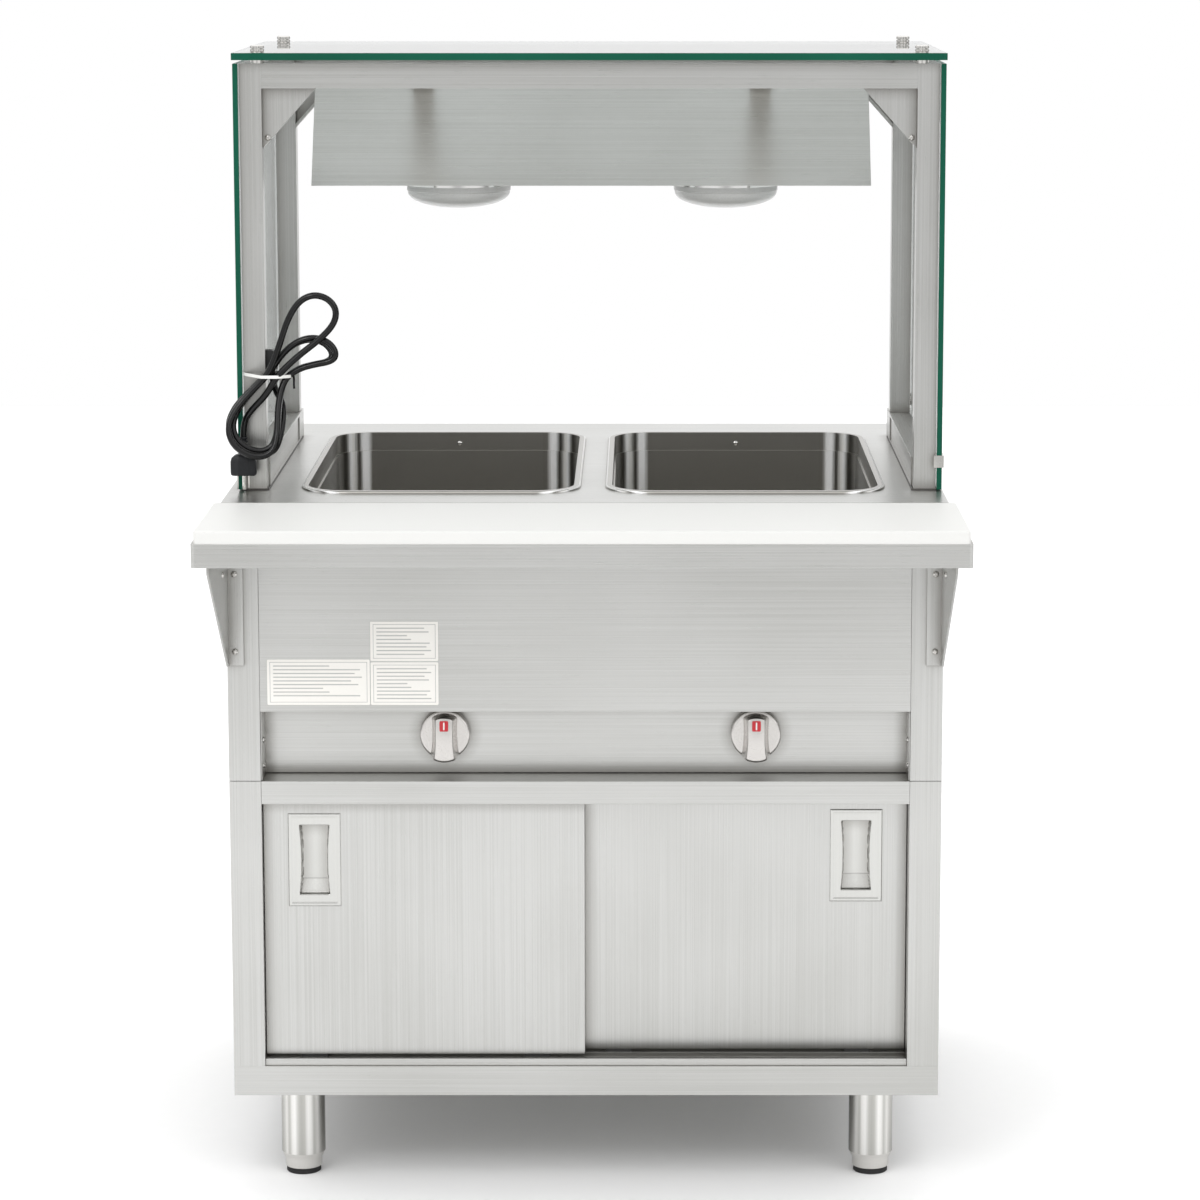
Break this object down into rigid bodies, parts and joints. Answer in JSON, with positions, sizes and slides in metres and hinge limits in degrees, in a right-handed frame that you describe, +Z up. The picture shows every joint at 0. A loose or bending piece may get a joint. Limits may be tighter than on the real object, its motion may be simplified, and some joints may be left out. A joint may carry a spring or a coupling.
{
  "type": "gas steam table",
  "caption": "Stainless gas steam table with sunk wells, sliding doors, a front board shelf and a glass guard with heat lamps above.",
  "frame": {"origin": "on the floor, under the middle of the bounding box", "axes": "+Z up, front towards -Y, +X to the right of a person who faces the front"},
  "size_m": [0.842, 0.903, 1.308],
  "materials": {
    "stainless_sheet": "brushed",
    "pull_steel": "satin",
    "screw_steel": "satin",
    "foot_metal": "polished",
    "burner_steel": "matt",
    "pipe_paint": "satin",
    "valve_brass": "satin",
    "knob_nickel": "satin nickel",
    "inlay_red": "glossy",
    "inlay_white": "glossy",
    "label_vinyl": "satin",
    "board_plastic": "matt",
    "clear_glass": "polished",
    "socket_ceramic": "glazed",
    "lamp_glass": "silvered and clear",
    "gland_plastic": "matt",
    "cord_pvc": "satin",
    "plug_pvc": "satin",
    "tie_plastic": "satin",
    "glide_nylon": "matt",
    "pad_rubber": "matt"
  },
  "bodies": {
    "table": {"leg_tubes": "stainless_sheet", "leg_collars": "stainless_sheet", "base_channels": "stainless_sheet", "bottom_shelf": "stainless_sheet", "lower_posts": "stainless_sheet", "upper_posts": "stainless_sheet", "left_side_panels": "stainless_sheet", "right_side_panels": "stainless_sheet", "back_panels": "stainless_sheet", "middle_shelf": "stainless_sheet", "control_panel": "stainless_sheet", "front_panel": "stainless_sheet", "door_tracks": "stainless_sheet", "countertop": "stainless_sheet", "left_well": "stainless_sheet", "right_well": "stainless_sheet", "board_tray": "stainless_sheet", "shelf_brackets": "stainless_sheet", "guard_posts": "stainless_sheet", "guard_top_rails": "stainless_sheet", "guard_base_rails": "stainless_sheet", "guard_gussets": "stainless_sheet", "lamp_housing": "stainless_sheet", "lamp_hangers": "stainless_sheet", "screw_heads": "screw_steel", "glass_fixings": "screw_steel", "left_burner": "burner_steel", "right_burner": "burner_steel", "burner_supports": "burner_steel", "gas_manifold": "pipe_paint", "gas_valves": "valve_brass", "cutting_board": "board_plastic", "left_side_glass": "clear_glass", "right_side_glass": "clear_glass", "top_glass": "clear_glass", "lamp_sockets": "socket_ceramic", "heat_lamps": "lamp_glass", "cord_gland": "gland_plastic", "lamp_cord": "cord_pvc", "cord_hank": "cord_pvc", "plug": "plug_pvc", "cord_tie": "tie_plastic"},
    "left_door": {"left_door": "stainless_sheet", "left_door_pull": "pull_steel", "left_door_glides": "glide_nylon"},
    "right_door": {"right_door": "stainless_sheet", "right_door_pull": "pull_steel", "right_door_glides": "glide_nylon"},
    "left_knob": {"left_knob": "knob_nickel", "left_valve_stem": "valve_brass"},
    "right_knob": {"right_knob": "knob_nickel", "right_valve_stem": "valve_brass"},
    "foot_front_left": {"foot_front_left": "foot_metal", "foot_pad_front_left": "pad_rubber"},
    "foot_front_right": {"foot_front_right": "foot_metal", "foot_pad_front_right": "pad_rubber"},
    "foot_rear_left": {"foot_rear_left": "foot_metal", "foot_pad_rear_left": "pad_rubber"},
    "foot_rear_right": {"foot_rear_right": "foot_metal", "foot_pad_rear_right": "pad_rubber"}
  },
  "joints": [
    {"name": "left_door_slide", "type": "slide", "parent": "table", "child": "left_door", "axis": [1, 0, 0], "range_m": [0, 0.345]},
    {"name": "right_door_slide", "type": "slide", "parent": "table", "child": "right_door", "axis": [-1, 0, 0], "range_m": [0, 0.345]},
    {"name": "left_knob_turn", "type": "hinge", "parent": "table", "child": "left_knob", "pos_m": [-0.1615, -0.2135, 0.5255], "axis": [0, -1, 0], "range_deg": [0, 90]},
    {"name": "right_knob_turn", "type": "hinge", "parent": "table", "child": "right_knob", "pos_m": [0.195, -0.2135, 0.5255], "axis": [0, -1, 0], "range_deg": [0, 90]},
    {"name": "foot_front_left_travel", "type": "slide", "parent": "table", "child": "foot_front_left", "axis": [0, 0, -1], "range_m": [0, 0.025]},
    {"name": "foot_front_right_travel", "type": "slide", "parent": "table", "child": "foot_front_right", "axis": [0, 0, -1], "range_m": [0, 0.025]},
    {"name": "foot_rear_left_travel", "type": "slide", "parent": "table", "child": "foot_rear_left", "axis": [0, 0, -1], "range_m": [0, 0.025]},
    {"name": "foot_rear_right_travel", "type": "slide", "parent": "table", "child": "foot_rear_right", "axis": [0, 0, -1], "range_m": [0, 0.025]}
  ]
}
